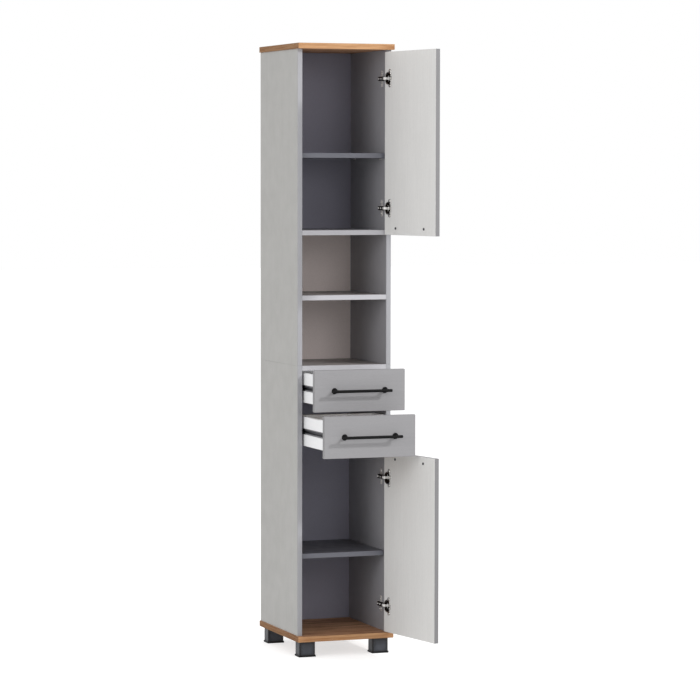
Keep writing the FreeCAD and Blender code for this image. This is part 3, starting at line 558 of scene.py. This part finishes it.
def round_screws(node, body, material, seed):
    """One piece with a round, recessed screw in place of each of the node's plain ones."""
    draws = random.Random(seed)
    bm = bmesh.new()
    for points in solids_of(node):
        spot, axis, sizes = measure(points)
        twist = Matrix.Rotation(draws.uniform(0, math.pi), 4, "Z")
        aim = axis.to_track_quat("Z", "Y").to_matrix().to_4x4()
        one = screw_mesh(*sizes).copy()
        one.transform(Matrix.Translation(spot) @ aim @ twist)
        bm.from_mesh(one)
        bpy.data.meshes.remove(one)
    mesh = bpy.data.meshes.new(node + "_round")
    bm.to_mesh(mesh)
    bm.free()
    mesh.shade_flat()
    mesh.materials.append(material)
    piece = bpy.data.objects.new(node + "_round", mesh)
    bpy.context.scene.collection.objects.link(piece)
    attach(piece, body)
    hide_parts(node)


round_screws("hinge_screws", "carcass", NICKEL, 1)
round_screws("runner_rail_screws", "carcass", ZINC, 2)
round_screws("foot_screws", "carcass", ZINC, 3)
for i, level in enumerate(("upper", "lower")):
    round_screws(level + "_cup_screws", level + "_door", NICKEL, 10 + i)
    round_screws(level + "_door_handle_screws", level + "_door", BURNISHED, 20 + i)
    round_screws(level + "_drawer_handle_screws", level + "_drawer", BURNISHED, 30 + i)


# ------------------------------------------------------------------ floor and world
FLOOR_SIZE, FLOOR_Y = 60, 6.0
FLOOR_LIFT = 0.62        # what brings the open floor to white in the picture and in reflections
AMBIENT = 0.82


def glow(tree, kind, strength):
    """A white Emission or Background shader."""
    n = tree.nodes.new(kind)
    n.inputs["Color"].default_value = grey(1)
    n.inputs["Strength"].default_value = strength
    return n.outputs[0]


def by_ray(tree, unseen, seen):
    """The second shader for camera, glossy and transmission rays, and the first for all others."""
    path = tree.nodes.new("ShaderNodeLightPath")
    fac = path.outputs["Is Camera Ray"]
    for name in ("Is Glossy Ray", "Is Transmission Ray"):
        most = tree.nodes.new("ShaderNodeMath")
        most.operation = "MAXIMUM"
        tree.links.new(fac, most.inputs[0])
        tree.links.new(path.outputs[name], most.inputs[1])
        fac = most.outputs[0]
    pick = tree.nodes.new("ShaderNodeMixShader")
    for i, output in enumerate((fac, unseen, seen)):
        tree.links.new(output, pick.inputs[i])
    return pick.outputs[0]


bpy.ops.mesh.primitive_plane_add(size=FLOOR_SIZE, location=(0, FLOOR_Y, 0))
floor = bpy.context.object
floor.name = "floor"
pale = Look("floor")
cloud = pale.noise(pale.space(), scale=0.6, detail=2)
shade = pale.ramp(cloud, (LOW, grey(0.60)), (HIGH, grey(0.63)))
pale.set(Base_Color=shade, Roughness=0.95, Specular_IOR_Level=0.05)
tree = pale.tree
lift = by_ray(tree, glow(tree, "ShaderNodeEmission", 0.0), glow(tree, "ShaderNodeEmission", FLOOR_LIFT))
both = tree.nodes.new("ShaderNodeAddShader")
tree.links.new(pale.shader.outputs[0], both.inputs[0])
tree.links.new(lift, both.inputs[1])
tree.links.new(both.outputs[0], tree.nodes["Material Output"].inputs["Surface"])
floor.data.materials.append(pale.material)

world = bpy.data.worlds.new("studio")
bpy.context.scene.world = world
world.use_nodes = True
tree = world.node_tree
tree.nodes.clear()
sky = by_ray(tree, glow(tree, "ShaderNodeBackground", AMBIENT), glow(tree, "ShaderNodeBackground", 1.0))
tree.links.new(sky, tree.nodes.new("ShaderNodeOutputWorld").inputs["Surface"])


# ------------------------------------------------------------------ lights
def softbox(name, aside, ahead, height, aim, power, size):
    """Square lamp, placed from the middle of the carcass's front and aimed at a height on it."""
    data = bpy.data.lights.new(name, "AREA")
    data.shape = "SQUARE"
    data.size = size
    data.energy = power
    obj = bpy.data.objects.new(name, data)
    bpy.context.scene.collection.objects.link(obj)
    obj.location = (MID_X + aside, FRONT_Y - ahead, height)
    obj.rotation_mode = "QUATERNION"
    obj.rotation_quaternion = (Vector((MID_X, FRONT_Y, aim)) - obj.location).to_track_quat("-Z", "Y")


softbox("key", aside=4.0, ahead=3.5, height=3.8, aim=0.95, power=190, size=0.4)
softbox("front", aside=0.9, ahead=5.0, height=2.4, aim=0.95, power=26, size=1.6)
softbox("fill", aside=-4.2, ahead=2.2, height=1.9, aim=1.1, power=50, size=2.0)

# ------------------------------------------------------------------ camera
# Fitted to the photo's edges, and placed from the carcass.
CAM_PLACE = (MID_X - 3.1895, BACK_Y - 9.0903, 1.4664)
CAM_RIGHT = Vector((0.9388, -0.34445, 0.00134))
CAM_UP = Vector((0.01858, 0.05454, 0.99834))
CAM_LENS, CAM_SENSOR = 158.4, 36.0
cam_data = bpy.data.cameras.new("camera")
cam_data.lens = CAM_LENS
cam_data.sensor_width = CAM_SENSOR
cam_data.clip_start, cam_data.clip_end = 0.1, 200.0
cam = bpy.data.objects.new("camera", cam_data)
bpy.context.scene.collection.objects.link(cam)
cam_turn = Matrix((CAM_RIGHT, CAM_UP, CAM_RIGHT.cross(CAM_UP))).transposed()
cam.matrix_world = Matrix.Translation(CAM_PLACE) @ cam_turn.to_4x4()
bpy.context.scene.camera = cam
bpy.context.scene.view_settings.view_transform = "Standard"
